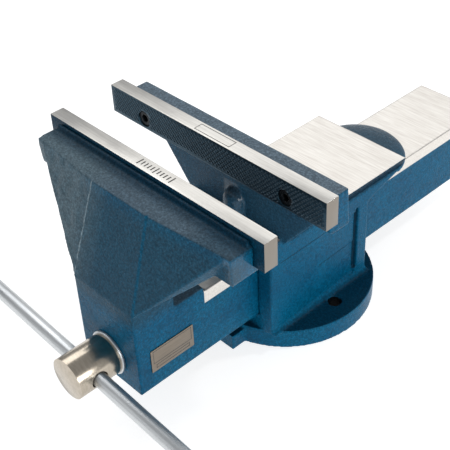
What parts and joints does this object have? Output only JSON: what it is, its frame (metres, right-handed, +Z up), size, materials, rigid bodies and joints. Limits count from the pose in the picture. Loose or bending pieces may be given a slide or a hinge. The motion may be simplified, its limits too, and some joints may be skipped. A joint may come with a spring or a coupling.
{
  "type": "bench vise",
  "caption": "Bench vise with wide serrated jaw plates, a square sliding beam worked by a screw and a sliding bar handle, a rear anvil and a round bolt-down base.",
  "frame": {"origin": "middle of the base's underside, halfway between the two anchor bolt holes", "axes": "+X along the jaws to the right as seen from the handle, +Y along the screw from the handle to the rear, +Z up"},
  "size_m": [0.2844, 0.398, 0.168],
  "materials": {
    "blue_paint": "glossy blue enamel over cast steel, with an orange-peel skin; the anvil top and the beam's top are ground bare",
    "ground_steel": "ground hardened steel with a diamond-cut gripping face",
    "black_oxide": "black oxide steel",
    "turned_steel": "turned bright steel",
    "zinc_plate": "bright zinc plate",
    "spring_steel": "oil-tempered spring wire",
    "nut_bronze": "cast bronze",
    "dark_knob": "dark brown moulded knob",
    "nameplate_metal": "satin plate with an embossed border"
  },
  "bodies": {
    "fixed_jaw": {"fixed_body": "blue_paint", "fixed_jaw_plate": "ground_steel", "fixed_plate_screw_left": "black_oxide", "fixed_plate_screw_right": "black_oxide", "spindle_nut": "nut_bronze", "nut_bolt_front": "black_oxide", "nut_bolt_rear": "black_oxide", "nut_washer_front": "zinc_plate", "nut_washer_rear": "zinc_plate"},
    "moving_jaw": {"moving_body": "blue_paint", "moving_jaw_plate": "ground_steel", "moving_plate_screw_left": "black_oxide", "moving_plate_screw_right": "black_oxide", "nameplate": "nameplate_metal", "thrust_washer": "zinc_plate", "spindle_spring": "spring_steel", "spring_washer": "zinc_plate"},
    "screw": {"spindle": "turned_steel", "retaining_collar": "turned_steel", "retaining_pin": "black_oxide"},
    "handle": {"handle_bar": "zinc_plate", "handle_knob_left": "dark_knob", "handle_knob_right": "dark_knob"}
  },
  "joints": [
    {"name": "jaw_slide", "type": "slide", "parent": "fixed_jaw", "child": "moving_jaw", "axis": [0, 1, 0], "range_m": [-0.159, 0.04]},
    {"name": "screw_turn", "type": "hinge", "parent": "moving_jaw", "child": "screw", "pos_m": [0, -0.185, 0.048], "axis": [0, 1, 0], "range_deg": [-9541, 2401]},
    {"name": "handle_slide", "type": "slide", "parent": "screw", "child": "handle", "axis": [0.9976, 0, -0.0698], "range_m": [-0.1115, 0.0975]}
  ],
  "couplings": [
    {"joint": "screw_turn", "follows": "jaw_slide", "rad_per_m": 1047.2}
  ]
}
